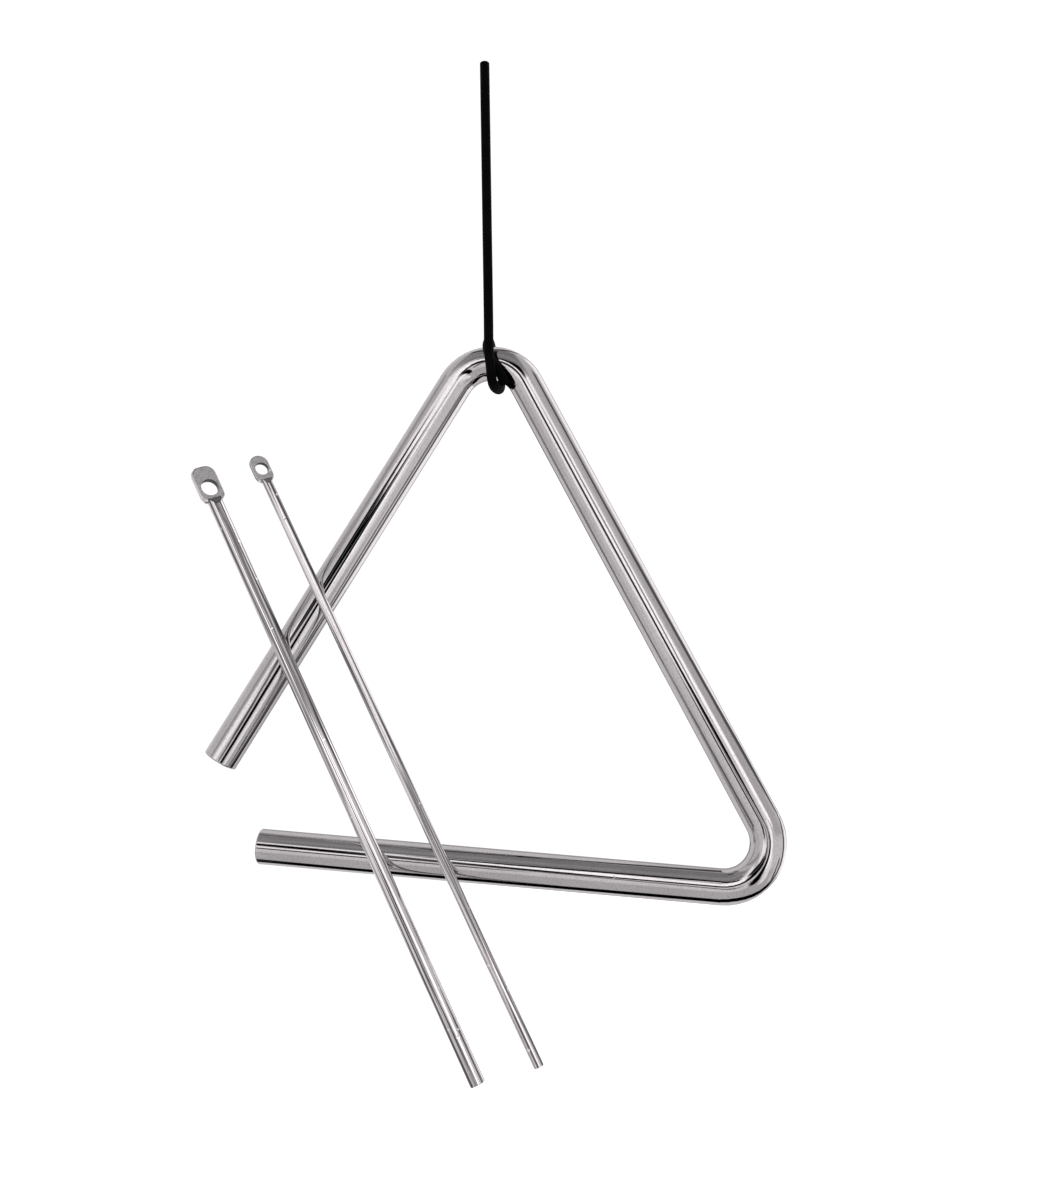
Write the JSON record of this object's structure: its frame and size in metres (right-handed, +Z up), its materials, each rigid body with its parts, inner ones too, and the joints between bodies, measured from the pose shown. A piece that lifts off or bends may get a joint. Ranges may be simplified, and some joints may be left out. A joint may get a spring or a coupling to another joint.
{
  "type": "triangle instrument",
  "caption": "Percussion triangle of bent round bar, open at one corner, hitched to a hanging cord, with straight metal beaters resting against its front.",
  "frame": {"origin": "middle of the cord's cut top end, where the cord is held", "axes": "+Z up along the hanging cord, -Y towards the player, +X to the player's right, the open corner being at -X"},
  "size_m": [0.1883, 0.0399, 0.322],
  "materials": {
    "chrome": "polished chrome plate with faint handling marks",
    "steel": "bright plated steel bar, matt where it is pressed flat",
    "cord": "round black cord, slightly waxy"
  },
  "bodies": {
    "cord_end": {"cord_top_end": "cord"},
    "cord": {"hanger_cord": "cord"},
    "hitch": {"cord_hitch": "cord"},
    "triangle": {"triangle_rod": "chrome"},
    "large_beater": {"large_beater": "steel"},
    "small_beater": {"small_beater": "steel"}
  },
  "joints": [
    {"name": "cord_twist", "type": "hinge", "parent": "cord_end", "child": "cord", "pos_m": [0, 0, -0.01], "axis": [0, 0, 1], "continuous": true},
    {"name": "triangle_tilt", "type": "hinge", "parent": "cord", "child": "hitch", "pos_m": [0, 0, -0.0865], "axis": [1, 0, 0], "range_deg": [-45, 45]},
    {"name": "triangle_rock", "type": "hinge", "parent": "hitch", "child": "triangle", "pos_m": [-0.00129, 0.00897, -0.11046], "axis": [0, 0.9959, -0.0906], "range_deg": [-35, 35]},
    {"name": "large_beater_lift", "type": "slide", "parent": "triangle", "child": "large_beater", "axis": [0, -0.9959, 0.0906], "range_m": [0, 0.1]},
    {"name": "small_beater_lift", "type": "slide", "parent": "triangle", "child": "small_beater", "axis": [0, -0.9959, 0.0906], "range_m": [0, 0.1]}
  ]
}
